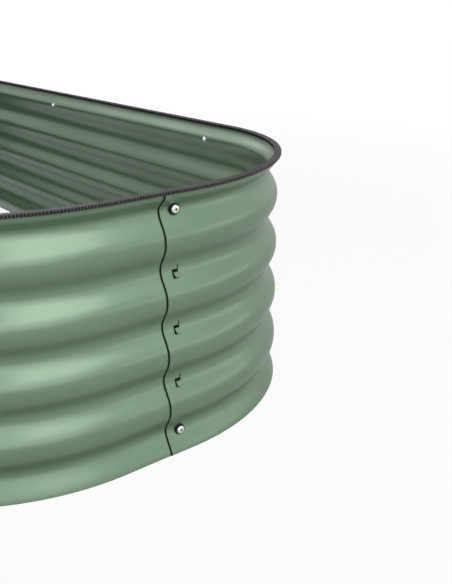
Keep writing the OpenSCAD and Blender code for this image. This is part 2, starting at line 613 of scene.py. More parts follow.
def lathe(profile: Sequence[Point], segments: int) -> bmesh.types.BMesh:
    """Turns an outline about local Y.

    Args:
        profile: (radius, y) points; a radius of zero closes the end.
        segments: Steps round the axis.

    Returns:
        The turned mesh.
    """
    bm = bmesh.new()
    rings = [
        [bm.verts.new(spoke(r, y, a)) for a in (turns(segments) if r > 0 else [0.0])] for r, y in profile
    ]
    bridge(bm, rings)
    bmesh.ops.recalc_face_normals(bm, faces=bm.faces)
    return bm


# Panels


@dataclass
class Station:
    """A cross-section of a panel: a point on the crest line, the outward direction and the way run so far."""

    at: Vector
    out: Vector
    run: float

    def place(self, offset: float, z: float) -> Vector:
        """The point at an offset from the crest line and a height."""
        return self.at + self.out * offset + Vector((0, 0, z))


@dataclass(frozen=True)
class Window:
    """A rectangle on a panel, by its places along the run and its heights."""

    left: float
    right: float
    low: float
    high: float
    slack: float = 0.01 * MM

    def holds(self, run: float, z: float) -> bool:
        """True for a place inside it or on its outline."""
        across = self.left - self.slack < run < self.right + self.slack
        return across and self.low - self.slack < z < self.high + self.slack


@dataclass(frozen=True)
class Hooks:
    """Tongues cut and bent out of an outer panel, and the openings that they leave.

    A tongue's root reaches up into the sheet, and it gains a share of its full lean, curl, at each step.
    Its bend and the tongue's root are painted dark as a painted shadow, and its faces lie a share of the
    sheet, sink, inside the sheet's own.
    """

    width: float = 8.5 * MM
    length: float = 14 * MM
    angle: float = math.radians(47)
    drop: float = 2.4 * MM
    opening_share: float = 0.94
    side_gap: float = 1.2 * MM
    slit_rise: float = 5 * MM
    slit_w: float = 1.9 * MM
    # Step by which the painted shadow at a tongue's bend fades out.
    bend_shadow_step: float = 2.2 * MM
    root: float = 1.5 * MM
    steps: int = 8
    curl: float = 0.4
    tip_trim: float = 1.0 * MM
    sink: float = 0.02

    def openings(self, at: float) -> list[Window]:
        """Openings below the bends of the hooks, each with a slit that goes up on one side.

        Args:
            at: Run at which the bolt line lies.

        Returns:
            The openings and slits.
        """
        half = self.width / 2 + self.side_gap
        start = at + half - self.side_gap
        made: list[Window] = []
        for z in BED.hook_rows:
            bend = z - self.drop
            made.append(Window(at - half, at + half, bend - self.length * self.opening_share, bend))
            made.append(Window(start, start + self.slit_w, bend, z + self.slit_rise))
        return made

    def shades(self, at: float) -> list[Window]:
        """The parts of an inner panel behind the openings, which are painted dark as painted shade.

        Args:
            at: Run at which the bolt line lies.

        Returns:
            The parts that are painted dark.
        """
        half = self.width / 2 + self.slit_w
        return [
            Window(at - half, at + half, z - self.drop - self.length, z + self.slit_rise)
            for z in BED.hook_rows
        ]

    def line(self, z: float) -> list[tuple[float, float, float]]:
        """Line of a tongue's outer face, from its root in the sheet over the bend to its tip.

        Args:
            z: Height of its valley.

        Returns:
            The offset, height and lean of each point.
        """
        bend, step = z - self.drop, self.length / self.steps
        held = bend + self.root
        points = [(BED.face(held), held, 0.0), (BED.face(bend), bend, 0.0)]
        for i in range(1, self.steps + 1):
            lean = self.angle * min(1.0, self.curl * i)
            offset, height, _ = points[-1]
            points.append((offset + step * math.sin(lean), height - step * math.cos(lean), lean))
        return points

    def add(self, bm: bmesh.types.BMesh, place: Matrix, near: Any) -> None:
        """Adds the three tongues to a panel's mesh.

        Args:
            bm: The panel's mesh.
            place: Matrix from the seam's frame to the panel's.
            near: The layer of distances to a dark edge; each tongue's bend is painted dark as a painted
                shadow.
        """
        corners = ((-1, self.sink), (1, self.sink), (1, 1 - self.sink), (-1, 1 - self.sink))
        for z in BED.hook_rows:
            rings = []
            for k, (offset, height, lean) in enumerate(self.line(z)):
                inward = Vector((0, -math.cos(lean), -math.sin(lean))) * BED.sheet_t
                reach = self.width / 2 - (self.tip_trim if k > self.steps else 0.0)
                ring = [
                    bm.verts.new(place @ (Vector((side * reach, offset, height)) + inward * depth))
                    for side, depth in corners
                ]
                for v in ring:
                    # The tongue's root and bend are painted dark, a painted shadow.
                    v[near] = max(0, k - 1) * self.bend_shadow_step / 2
                rings.append(ring)
            bridge(bm, rings)
            bm.faces.new(rings[0])
            bm.faces.new(rings[-1][::-1])


@dataclass
class Panel:
    """One ribbed sheet, as a row of stations with its windows, parts painted dark as painted shade, and
    hooks.

    Its inner face counts as being the distance clear from every dark edge.
    """

    name: str
    stations: list[Station]
    windows: list[Window]
    shades: list[Window]
    hook_place: Matrix
    clear: float = 50 * MM
    skirt_rows: int = 14
    bulge_rows: int = 32
    lip_rows: int = 12
    row_gap: float = 0.6 * MM

    @cached_property
    def heights(self) -> list[float]:
        """Heights of the mesh's rows, dense on the curves and exact at the windows.

        Returns:
            The heights, from the ground up.
        """
        rows = [BED.skirt_h * i / self.skirt_rows for i in range(self.skirt_rows)]
        rows += [
            BED.skirt_h + BED.rib_pitch * i / self.bulge_rows for i in range(self.bulge_rows * BED.bulges)
        ]
        rows += [BED.top_valley_z + BED.lip_h * i / self.lip_rows for i in range(self.lip_rows + 1)]
        rows += [BED.sheet_top_z]
        cuts = {round(z, HEIGHT_DIGITS) for w in self.windows + self.shades for z in (w.low, w.high)}
        kept = {round(z, HEIGHT_DIGITS) for z in rows}
        return sorted({z for z in kept if all(abs(z - c) > self.row_gap for c in cuts)} | cuts)

    def gone(self, i: int, j: int) -> bool:
        """Says whether a cell of the mesh is left out.

        Args:
            i: Number of the cell along the run.
            j: Number of the cell up the sheet.

        Returns:
            True in a window and outside the sheet.
        """
        if not (0 <= i < len(self.stations) - 1 and 0 <= j < len(self.heights) - 1):
            return True
        run = (self.stations[i].run + self.stations[i + 1].run) / 2
        z = (self.heights[j] + self.heights[j + 1]) / 2
        return any(w.left < run < w.right and w.low < z < w.high for w in self.windows)

    def build(self, hooks: Hooks) -> bpy.types.Mesh:
        """Builds the closed sheet with its windows and hooks.

        Args:
            hooks: The hooks' sizes.

        Returns:
            The mesh, with the distance to the nearest free edge on its outer face as an attribute, which is
            zero on the painted shade behind the openings.
        """
        first, last = self.stations[0].run, self.stations[-1].run
        bm = bmesh.new()
        near = bm.verts.layers.float.new("edge_distance")
        grid: list[list[tuple[bmesh.types.BMVert, bmesh.types.BMVert]]] = []
        for s in self.stations:
            column = []
            for z in self.heights:
                outer = bm.verts.new(s.place(BED.face(z), z))
                # The outer face is marked for the dark band at its ends, a painted shadow of the seam gap,
                # and wholly for painted shade behind the openings.
                dark = any(w.holds(s.run, z) for w in self.shades)
                outer[near] = 0.0 if dark else min(s.run - first, last - s.run)
                inner = bm.verts.new(s.place(BED.face(z) - BED.sheet_t, z))
                inner[near] = self.clear
                column.append((outer, inner))
            grid.append(column)
        for i in range(len(self.stations) - 1):
            for j in range(len(self.heights) - 1):
                if self.gone(i, j):
                    continue
                a, b, c, d = grid[i][j], grid[i + 1][j], grid[i + 1][j + 1], grid[i][j + 1]
                bm.faces.new((a[0], b[0], c[0], d[0]))
                bm.faces.new((d[1], c[1], b[1], a[1]))
                for di, dj, p, q in ((0, -1, a, b), (1, 0, b, c), (0, 1, c, d), (-1, 0, d, a)):
                    if self.gone(i + di, j + dj):
                        bm.faces.new((p[1], q[1], q[0], p[0]))
        loose = [v for v in bm.verts if not v.link_faces]
        bmesh.ops.delete(bm, geom=loose, context="VERTS")
        hooks.add(bm, self.hook_place, near)
        bmesh.ops.recalc_face_normals(bm, faces=bm.faces)
        return shaded(bm, self.name)


@dataclass
class Walls:
    """The eight sheets of the ring."""

    finishes: Finishes
    hooks: Hooks = Hooks()
    end_step: float = 1.3 * MM
    straight_step: float = 60 * MM
    stop_gap: float = 4 * MM
    curve_steps: int = 56

    def _line(
        self, at: Vector, along: Vector, out: Vector, start: float, stops: Iterable[float]
    ) -> list[Station]:
        """Stations on a straight run, at the given runs from the start of the sheet."""
        return [Station(at + along * (s - start), out, s) for s in stops]

    def _stops(self, start: float, end: float, windows: Iterable[Window], *extra: float) -> list[float]:
        """Runs at which a straight stretch is cut.

        Args:
            start: Run at which it starts.
            end: Run at which it ends.
            windows: Windows whose sides it is cut at.
            extra: More runs to cut it at.

        Returns:
            The ends, the windows' sides, even steps between and the extra runs, in order.
        """
        keep = {start, end} | {v for w in windows for v in (w.left, w.right) if start < v < end}
        count = max(1, round((end - start) / self.straight_step))
        even = {start + (end - start) * i / count for i in range(1, count)}
        even = {e for e in even if all(abs(e - k) > self.stop_gap for k in keep)}
        return sorted(keep | even | set(extra))

    def _panel(
        self, name: str, place: Matrix, hook_place: Matrix, stations: list[Station], start: float, end: float
    ) -> Panel:
        """A panel from stations in a local frame.

        Args:
            name: The sheet's name.
            place: Matrix from the local frame to the bed's.
            hook_place: Matrix from the start seam's frame to the bed's.
            stations: Its stations in the local frame.
            start: Run of its bolts at the start.
            end: Run of its bolts at the finish.

        Returns:
            The panel.
        """
        rotation = place.to_3x3()
        moved = [Station(place @ s.at, rotation @ s.out, s.run) for s in stations]
        return Panel(name, moved, self.hooks.openings(start), self.hooks.shades(end), hook_place)

    def corner(self, name: str, centre: Vector, turn: float, start_run: float, finish_run: float) -> Panel:
        """A corner sheet, from its outer end on local +X to its inner end on local +Y.

        Args:
            name: The sheet's name.
            centre: Centre of the corner's curve.
            turn: Turn of the corner about Z.
            start_run: From the curve to the bolts at the start.
            finish_run: From the curve to the bolts at the finish.

        Returns:
            The panel.
        """
        r, x, y = BED.corner_r, Vector((1, 0, 0)), Vector((0, 1, 0))
        first = start_run + BED.outer_lap
        arc = r * QUARTER
        start_seam, finish_seam = BED.outer_lap, first + arc + finish_run + BED.lap_step
        last = finish_seam + BED.inner_lap
        stops = self._stops(0, first, self.hooks.openings(start_seam), self.end_step)
        stations = self._line(Vector((r, -first, 0)), y, x, 0, stops)
        for i in range(1, self.curve_steps):
            a = QUARTER * i / self.curve_steps
            out = Vector((math.cos(a), math.sin(a), 0))
            stations.append(Station(out * r, out, first + r * a))
        stops = self._stops(first + arc, last, self.hooks.shades(finish_seam), last - self.end_step)
        stations += self._line(Vector((0, r, 0)), -x, y, first + arc, stops)
        shift = Matrix.Translation((BED.lap_step, 0, 0))
        place = Matrix.Translation(centre) @ Matrix.Rotation(turn, 4, "Z") @ shift
        hook_place = place @ Matrix.Translation((r, -start_run, 0)) @ Matrix.Rotation(-QUARTER, 4, "Z")
        return self._panel(name, place, hook_place, stations, start_seam, finish_seam)

    def side(self, name: str, seam: Seam) -> Panel:
        """A side sheet, from its outer end at a seam to its inner end at the next.

        Args:
            name: The sheet's name.
            seam: The seam at which it starts.

        Returns:
            The panel.
        """
        start_seam, finish_seam = BED.outer_lap, BED.outer_lap + BED.side_l
        last = finish_seam + BED.inner_lap
        skew = Matrix.Rotation(math.asin(BED.lap_step / BED.side_l), 4, "Z")
        place = seam.matrix() @ Matrix.Translation((0, BED.lap_step, 0)) @ skew
        windows = self.hooks.openings(start_seam) + self.hooks.shades(finish_seam)
        stops = self._stops(0, last, windows, self.end_step, last - self.end_step)
        stations = self._line(Vector((start_seam, 0, 0)), Vector((-1, 0, 0)), Vector((0, 1, 0)), 0, stops)
        return self._panel(name, place, place, stations, start_seam, finish_seam)

    def build(self) -> None:
        """Builds the eight sheets and puts them in place of their solids."""
        cx, cy = BED.half_l - BED.corner_r, BED.half_w - BED.corner_r
        short, wide = BED.end_flat - BED.end_seam_off, BED.end_flat + BED.end_seam_off
        seam = {s.name: s for s in SEAMS}
        panels = [
            self.corner("corner_panel_back_right", Vector((cx, cy, 0)), 0, short, BED.side_run),
            self.corner("corner_panel_back_left", Vector((-cx, cy, 0)), QUARTER, BED.side_run, wide),
            self.corner("corner_panel_front_left", Vector((-cx, -cy, 0)), 2 * QUARTER, short, BED.side_run),
            self.corner("corner_panel_front_right", Vector((cx, -cy, 0)), 3 * QUARTER, BED.side_run, wide),
            self.side("side_panel_back_right", seam["back_right"]),
            self.side("side_panel_back_left", seam["back_middle"]),
            self.side("side_panel_front_left", seam["front_left"]),
            self.side("side_panel_front_right", seam["front_middle"]),
        ]
        for panel in panels:
            piece = mesh_object("sheet_" + panel.name, panel.build(self.hooks))
            piece.data.materials.append(self.finishes[Finish.PAINT])
            settle(piece, panel.name)


# Geometry Nodes


class NodeTree:
    """A Geometry Nodes tree with named inputs, made from short calls."""

    def __init__(self, name: str, **inputs: str) -> None:
        """Starts a tree with a geometry input and output.

        Args:
            name: The tree's name.
            inputs: Type of each named input's socket.
        """
        self.tree = bpy.data.node_groups.new(name, "GeometryNodeTree")
        face = self.tree.interface
        face.new_socket("Geometry", in_out="INPUT", socket_type="NodeSocketGeometry")
        face.new_socket("Geometry", in_out="OUTPUT", socket_type="NodeSocketGeometry")
        self.keys = {
            key: face.new_socket(key, in_out="INPUT", socket_type=kind).identifier
            for key, kind in inputs.items()
        }
        self.source = self.tree.nodes.new("NodeGroupInput").outputs

    def node(
        self, kind: str, settings: dict[str, Any] | None = None, inputs: dict[Any, Any] | None = None
    ) -> bpy.types.bpy_prop_collection:
        """Adds a node.

        Args:
            kind: The node's type.
            settings: Attributes, set before the sockets.
            inputs: Values or links by socket name or number, or a list of links for one socket.

        Returns:
            The node's outputs.
        """
        made = self.tree.nodes.new(kind)
        for key, value in (settings or {}).items():
            setattr(made, key, value)
        for key, value in (inputs or {}).items():
            for part in value if isinstance(value, list) else [value]:
                if isinstance(part, bpy.types.NodeSocket):
                    self.tree.links.new(part, made.inputs[key])
                else:
                    made.inputs[key].default_value = part
        return made.outputs

    def end(self, geometry: bpy.types.NodeSocket) -> None:
        """Makes instances real, sets the material and links the result to the output.

        Args:
            geometry: The finished geometry.
        """
        real = self.node("GeometryNodeRealizeInstances", {}, {0: geometry})
        dressing = {"Geometry": real[0], "Material": self.source["Material"]}
        dressed = self.node("GeometryNodeSetMaterial", {}, dressing)
        self.node("NodeGroupOutput", {}, {0: dressed[0]})

    def run(self, carrier: bpy.types.Object, **values: Any) -> bpy.types.Mesh:
        """Runs the tree on an object and hands back the plain mesh.

        Args:
            carrier: Object whose mesh the tree reads; it is removed.
            values: Values of the named inputs.

        Returns:
            The evaluated mesh.
        """
        modifier = carrier.modifiers.new("nodes", "NODES")
        modifier.node_group = self.tree
        for key, value in values.items():
            modifier[self.keys[key]] = value
        depsgraph = bpy.context.evaluated_depsgraph_get()
        mesh = bpy.data.meshes.new_from_object(carrier.evaluated_get(depsgraph))
        carrier.modifiers.remove(modifier)
        bpy.data.objects.remove(carrier)
        return mesh


# Rim edging


@dataclass
class RimEdging:
    """Rubber strip pushed over the rim: a smooth core with fine ribs across it."""

    finishes: Finishes
    rib_pitch: float = 4.6 * MM
    rib_w: float = 2.1 * MM
    rib_crown: float = 0.62
    rib_h: float = 0.6 * MM
    rib_root: float = 0.1 * MM
    rib_steps: int = 2
    core_steps: int = 5
    core_run: float = 8 * MM
    line_run: float = 2 * MM
    round_r: float = 2.0 * MM
    # Depths below the top between which the outer side's pits get painted shade.
    shade_low: float = 5.0 * MM
    shade_high: float = 0.9 * MM
    outside_share: float = 0.38
    inside_share: float = 0.25
    bare_top: float = 1.6 * MM
    rib_sharp: float = math.radians(50)

    @property
    def middle(self) -> float:
        """Offset of the strip's middle from the crests."""
        return BED.lap_gap / 2

    def painted_shade_at(self, offset: float, z: float) -> float:
        """How much painted shade the strip has at a place: in the pits of its outer side, and all down its
        inner side.

        Args:
            offset: Offset from the crests.
            z: Height above the ground.

        Returns:
            1 where it is dark, and otherwise 0.
        """
        down = BED.bed_h - z
        if offset < self.middle - BED.edging_w * self.inside_share:
            return 1.0 if down > self.bare_top else 0.0
        outside = offset > self.middle + BED.edging_w * self.outside_share
        return 1.0 if outside and self.shade_high < down < self.shade_low else 0.0

    def outline(self, depth: float, steps: int) -> list[Point]:
        """The strip's outline from its outer lower corner over the top to the inner one.

        Args:
            depth: How far it lies inside the tops of the ribs.
            steps: Straight steps in the rounding of each corner.

        Returns:
            (offset, height) points.
        """
        r = self.round_r - depth
        high, low = self.middle + BED.edging_w / 2 - depth, self.middle - BED.edging_w / 2 + depth
        top, bottom = BED.bed_h - depth, BED.bed_h - BED.edging_h + depth
        centres = ((high - r, bottom + r), (high - r, top - r), (low + r, top - r), (low + r, bottom + r))
        points: list[Point] = []
        for k, (x, z) in enumerate(centres):
            for i in range(steps + 1):
                a = QUARTER * (k - 1 + i / steps)
                points.append((x + r * math.cos(a), z + r * math.sin(a)))
        return points

    def path(self, step: float) -> list[Station]:
        """Stations on the closed line above the crests.

        Args:
            step: Largest distance between two stations on a curve.

        Returns:
            The stations, counterclockwise.
        """
        cx, cy, r = BED.half_l - BED.corner_r, BED.half_w - BED.corner_r, BED.corner_r
        steps = math.ceil(r * QUARTER / step)
        made: list[Station] = []
        for k, (x, y) in enumerate(((cx, cy), (-cx, cy), (-cx, -cy), (cx, -cy))):
            for i in range(steps + 1):
                a = QUARTER * (k + i / steps)
                out = Vector((math.cos(a), math.sin(a), 0))
                made.append(Station(Vector((x, y, 0)) + out * r, out, 0.0))
        return made

    def core(self) -> bpy.types.Object:
        """The strip's body, swept round the rim.

        Returns:
            The body.
        """
        points = self.outline(self.rib_h, self.core_steps)
        slot_in, slot_out = -BED.sheet_t - BED.rim_gap, BED.lap_step + BED.rim_gap
        bottom, roof = BED.bed_h - BED.edging_h + self.rib_h, BED.sheet_top_z + BED.rim_gap
        points += [(slot_in, bottom), (slot_in, roof), (slot_out, roof), (slot_out, bottom)]
        bm = bmesh.new()
        pit = bm.verts.layers.float.new("pit")
        rings = []
        for s in self.path(self.core_run):
            ring = [bm.verts.new(s.place(offset, z)) for offset, z in points]
            for v, (offset, z) in zip(ring, points):
                # Painted shade in the pits and down the inner side.
                v[pit] = self.painted_shade_at(offset, z)
            rings.append(ring)
        bridge(bm, rings, closed=True)
        bmesh.ops.recalc_face_normals(bm, faces=bm.faces)
        return mesh_object("edging_core", shaded(bm, "edging_core"))

    def rib(self) -> bpy.types.Object:
        """One rib, bent over the strip, with its width along X and its outside along Y.

        Returns:
            The rib.
        """
        inner = self.outline(self.rib_h + self.rib_root, self.rib_steps)
        outer = self.outline(0.0, self.rib_steps)
        foot = self.rib_w / 2
        crown = foot * self.rib_crown
        bm = bmesh.new()
        pit = bm.verts.layers.float.new("pit")
        rings = []
        for (ox, oz), (ix, iz) in zip(outer, inner):
            points = [(-foot, ix, iz), (-crown, ox, oz), (crown, ox, oz), (foot, ix, iz)]
            rings.append([bm.verts.new(p) for p in points])
            for v in rings[-1]:
                # The ribs' inner sides get the same painted shade.
                v[pit] = self.painted_shade_at(ox, oz) if ox < self.middle else 0.0
        bridge(bm, rings)
        bm.faces.new(rings[0])
        bm.faces.new(rings[-1][::-1])
        bmesh.ops.recalc_face_normals(bm, faces=bm.faces)
        return mesh_object("edging_rib", shaded(bm, "edging_rib", self.rib_sharp))

    def tree(self) -> NodeTree:
        """Tree that sets ribs at even steps along a closed line and joins them to the core.

        Returns:
            The tree.
        """
        t = NodeTree(
            "edging_ribs",
            Rib="NodeSocketObject",
            Core="NodeSocketObject",
            Ribs="NodeSocketInt",
            Material="NodeSocketMaterial",
        )
        curve = t.node("GeometryNodeMeshToCurve", {}, {0: t.source["Geometry"]})
        line = {"Curve": curve[0], "Count": t.source["Ribs"]}
        points = t.node("GeometryNodeCurveToPoints", {"mode": "COUNT"}, line)
        axes = {"axis": "X", "pivot_axis": "Z"}
        turn = t.node("FunctionNodeAlignRotationToVector", axes, {"Vector": points["Tangent"]})
        rib = t.node("GeometryNodeObjectInfo", {}, {"Object": t.source["Rib"]})["Geometry"]
        core = t.node("GeometryNodeObjectInfo", {}, {"Object": t.source["Core"]})["Geometry"]
        row = {"Points": points[0], "Instance": rib, "Rotation": turn[0]}
        ribs = t.node("GeometryNodeInstanceOnPoints", {}, row)[0]
        t.end(t.node("GeometryNodeJoinGeometry", {}, {0: [core, ribs]})[0])
        return t

    def build(self) -> None:
        """Builds the ribbed strip in place of its solid."""
        core, rib = self.core(), self.rib()
        line = [s.at for s in reversed(self.path(self.line_run))]
        mesh = bpy.data.meshes.new("rim_line")
        mesh.from_pydata(line, [(i, (i + 1) % len(line)) for i in range(len(line))], [])
        around = sum((line[i - 1] - p).length for i, p in enumerate(line))
        made = self.tree().run(
            mesh_object("rim_line", mesh),
            Rib=rib,
            Core=core,
            Ribs=round(around / self.rib_pitch),
            Material=self.finishes[Finish.EDGING],
        )
        for part in (core, rib):
            bpy.data.objects.remove(part)
        settle(mesh_object("ribbed_edging", made), "rim_edging")


# Fasteners


@dataclass
class Fasteners:
    """Bolts, washers and nuts of the seams.

    The recess of a bolt's head is a cross of two tapered bars, with its sizes as shares of the head's radius
    and height. It is painted dark as painted shade within shade_reach of the axis and between the heights
    shade_low and shade_high.
    """

    finishes: Finishes
    bolt_d: float = 6 * MM
    tail: float = 3 * MM
    head_d: float = 13.5 * MM
    head_h: float = 4 * MM
    head_rim: float = 0.25
    head_bevel: float = 0.3 * MM
    head_steps: int = 64
    dome_power: float = 0.7
    dome_step: float = math.radians(8)
    dome_rows: int = 10
    recess_l: float = 1.04
    recess_w: float = 0.26
    recess_middle: float = 0.95
    recess_taper: float = 0.55
    shade_reach: float = 0.55
    shade_low: float = 0.1
    shade_high: float = 0.85
    shank_gap: float = 0.04 * MM
    shank_root: float = 0.05 * MM
    shank_steps: int = 24
    thread_start: float = 4.5 * MM
    thread_pitch: float = 1 * MM
    thread_depth: float = 0.45 * MM
    thread_rows: int = 4
    thread_end: float = 0.2 * MM
    hole_gap: float = 0.3 * MM
    washer_d: float = 17.5 * MM
    washer_t: float = 0.1 * MM
    washer_lip: float = 0.15 * MM
    washer_film: float = 0.02 * MM
    washer_steps: int = 64
    nut_w: float = 10 * MM
    nut_h: float = 5 * MM
    nut_bevel: float = 0.6 * MM
    nut_face_share: float = 0.98
    nut_crown: float = 0.9
    nut_hole_gap: float = 0.05 * MM
    nut_hole_bevel: float = 0.4 * MM
    nut_steps: int = 72
    seat_gap: float = 0.03 * MM
    sharp: float = math.radians(32)

    @property
    def washer_face(self) -> float:
        """Offset of the washer's outer face from the crests."""
        seat = BED.face(BED.bolt_rows[0] - self.washer_d / 2)
        return seat + BED.lap_step + self.seat_gap + self.washer_t

    @property
    def nut_face(self) -> float:
        """Offset of the nut's seat from the crests."""
        return -BED.rib_depth - BED.sheet_t - self.seat_gap

    def head(self) -> bpy.types.Object:
        """A domed pan head with its seat at y = 0.

        Returns:
            The head, without its recess.
        """
        r, h, bevel = self.head_d / 2, self.head_h, self.head_bevel
        rim = h * self.head_rim
        outline: list[Point] = [(0, 0), (r - bevel, 0), (r - bevel / 3, bevel / 3), (r, bevel), (r, rim)]
        for a in (self.dome_step * i for i in range(1, self.dome_rows + 1)):
            outline.append((r * math.cos(a) ** self.dome_power, rim + (h - rim) * math.sin(a)))
        outline.append((0, h))
        return mesh_object("bolt_head", as_mesh(lathe(outline, self.head_steps), "bolt_head"))

    def recess(self) -> bpy.types.Object:
        """The cross that is cut out of a head.

        Returns:
            The cross.
        """
        r, h = self.head_d / 2, self.head_h
        bar = Matrix.Translation((0, h * self.recess_middle, 0))
        bar = bar @ Matrix.Diagonal((r * self.recess_l, h, r * self.recess_w, 1))
        bm = bmesh.new()
        for turn in (0, QUARTER):
            made = bmesh.ops.create_cube(bm, size=1.0, matrix=Matrix.Rotation(turn, 4, "Y") @ bar)
            for v in made["verts"]:
                if v.co.y < h:
                    v.co.x *= self.recess_taper
                    v.co.z *= self.recess_taper
        return mesh_object("recess", as_mesh(bm, "recess"))

    def bolt(self) -> bmesh.types.BMesh:
        """A pan-head bolt with a cross recess and a threaded shank, its seat at y = 0.

        Returns:
            The mesh, with the recess marked for painted shade as an attribute.
        """
        head, recess = self.head(), self.recess()
        modifier = head.modifiers.new("recess", "BOOLEAN")
        modifier.operation, modifier.object, modifier.solver = "DIFFERENCE", recess, "EXACT"
        modifier.use_self = True
        depsgraph = bpy.context.evaluated_depsgraph_get()
        bm = bmesh.new()
        bm.from_mesh(bpy.data.meshes.new_from_object(head.evaluated_get(depsgraph)))
        for made in (head, recess):
            bpy.data.objects.remove(made)
        pit = bm.verts.layers.float.new("pit")
        reach = self.head_d / 2 * self.shade_reach
        low, high = self.head_h * self.shade_low, self.head_h * self.shade_high
        for v in bm.verts:
            # The recess is marked for painted shade.
            v[pit] = 1.0 if math.hypot(v.co.x, v.co.z) < reach and low < v.co.y < high else 0.0
        self._shank(bm)
        return bm

    def _shank(self, bm: bmesh.types.BMesh) -> None:
        """Adds the threaded shank below the head's seat.

        Args:
            bm: The head's mesh.
        """
        length = self.washer_face + self.seat_gap - (self.nut_face - self.nut_h - self.tail)
        r, steps, per_turn = self.bolt_d / 2 - self.shank_gap, self.shank_steps, self.thread_rows
        rise = self.thread_pitch / per_turn
        rows = int((length - self.thread_start) / rise)
        lowest = self.thread_end - length
        rings = [[(r, self.shank_root)] * steps, [(r, -self.thread_start)] * steps]
        for k in range(1, rows - 1):
            fade = min(1.0, k / per_turn, (rows - 1 - k) / (per_turn - 1))
            depth = self.thread_depth * (0.5 - 0.5 * math.cos(2 * math.pi * k / per_turn)) * fade
            start = -self.thread_start - rise * k
            heights = (max(start - self.thread_pitch * i / steps, lowest) for i in range(steps))
            rings.append([(r - depth, y) for y in heights])
        rings.append([(r - self.thread_depth, -length)] * steps)
        verts = [
            [bm.verts.new(spoke(reach, y, a)) for a, (reach, y) in zip(turns(steps), ring)]
            for ring in rings
        ]
        faces = bridge(bm, verts)
        faces += [bm.faces.new(verts[-1]), bm.faces.new(verts[0][::-1])]
        bmesh.ops.recalc_face_normals(bm, faces=faces)

    def washer(self, bolt_z: float) -> bmesh.types.BMesh:
        """A rubber washer pressed into its valley.

        Args:
            bolt_z: Height of its bolt.

        Returns:
            The mesh about the bolt's axis, in seam offsets.
        """
        hole, r, lip = self.bolt_d / 2 + self.hole_gap, self.washer_d / 2, self.washer_lip
        section = ((hole, 0), ((hole + r) / 2, 0), (r - lip, 0), (r - lip * 0.3, lip * 0.3), (r, lip))
        bm = bmesh.new()
        front, rear = [], []
        for radius, drop in section:
            fore, aft = [], []
            for a in turns(self.washer_steps):
                x, z = radius * math.cos(a), radius * math.sin(a)
                y = self.washer_face - drop
                seat = BED.face(bolt_z + z) + BED.lap_step + self.seat_gap
                fore.append(bm.verts.new((x, y, z)))
                aft.append(bm.verts.new((x, min(seat, y - self.washer_film), z)))
            front.append(fore)
            rear.append(aft)
        bridge(bm, front + rear[::-1], closed=True)
        bmesh.ops.recalc_face_normals(bm, faces=bm.faces)
        return bm

    def nut(self) -> bmesh.types.BMesh:
        """A chamfered hexagon nut with its seat at y = 0, reaching to -Y.

        Returns:
            The mesh.
        """
        flat_r, h, hole = self.nut_w / 2, self.nut_h, self.bolt_d / 2 + self.nut_hole_gap
        tip, sixth = flat_r / math.cos(math.pi / 6), math.pi / 3
        face_r, bevel, hole_bevel = flat_r * self.nut_face_share, self.nut_bevel, self.nut_hole_bevel
        corners = ((-bevel, 1), (bevel - h, -1))

        def around(reach: float, y: float) -> list[bmesh.types.BMVert]:
            """A round ring of the nut."""
            return [bm.verts.new(spoke(reach, y, a)) for a in turns(self.nut_steps)]

        def hexagon(y: float, side: int) -> list[bmesh.types.BMVert]:
            """A hexagonal ring of the nut.

            Args:
                y: Place of its corners along the axis.
                side: Way in which its flats rise towards the nearer face.

            Returns:
                The ring.
            """
            ring = []
            for a in turns(self.nut_steps):
                reach = flat_r / math.cos((a + sixth / 2) % sixth - sixth / 2)
                rise = (tip - reach) / (tip - flat_r) * bevel * self.nut_crown
                ring.append(bm.verts.new(spoke(reach, y + side * rise, a)))
            return ring

        bm = bmesh.new()
        loops = [around(hole, 0), around(face_r, 0)]
        loops += [hexagon(y, side) for y, side in corners]
        loops += [around(face_r, -h), around(hole + hole_bevel, -h), around(hole, hole_bevel - h)]
        bridge(bm, loops, closed=True)
        bmesh.ops.recalc_face_normals(bm, faces=bm.faces)
        return bm

    def tree(self) -> NodeTree:
        """Tree that sets a fastener at every point, turned about Z.

        Returns:
            The tree.
        """
        t = NodeTree(
            "fastener_rows",
            Fastener="NodeSocketObject",
            Material="NodeSocketMaterial",
            Turn="NodeSocketFloat",
        )
        points = t.node("GeometryNodeMeshToPoints", {}, {0: t.source["Geometry"]})[0]
        turn = t.node("ShaderNodeCombineXYZ", {}, {"Z": t.source["Turn"]})[0]
        kept = t.node("GeometryNodeObjectInfo", {}, {"Object": t.source["Fastener"]})["Geometry"]
        row = {"Points": points, "Instance": kept, "Rotation": turn}
        t.end(t.node("GeometryNodeInstanceOnPoints", {}, row)[0])
        return t

    def row(
        self, tree: NodeTree, seam: Seam, patterns: list[bpy.types.Object], finish: Finish, offset: float
    ) -> bmesh.types.BMesh:
        """The two fasteners of one kind at a seam.

        Args:
            tree: Tree that sets a fastener at a point.
            seam: The seam.
            patterns: The fastener of each bolt row, or one for both.
            finish: Their finish.
            offset: Offset of their place from the crests.

        Returns:
            Both as one mesh.
        """
        bm = bmesh.new()
        for k, z in enumerate(BED.bolt_rows):
            spot = bpy.data.meshes.new("spot")
            spot.from_pydata([seam.matrix() @ Vector((0, offset, z))], [], [])
            made = tree.run(
                mesh_object("spot", spot),
                Fastener=patterns[k % len(patterns)],
                Material=self.finishes[finish],
                Turn=seam.turn,
            )
            bm.from_mesh(made)
        return bm

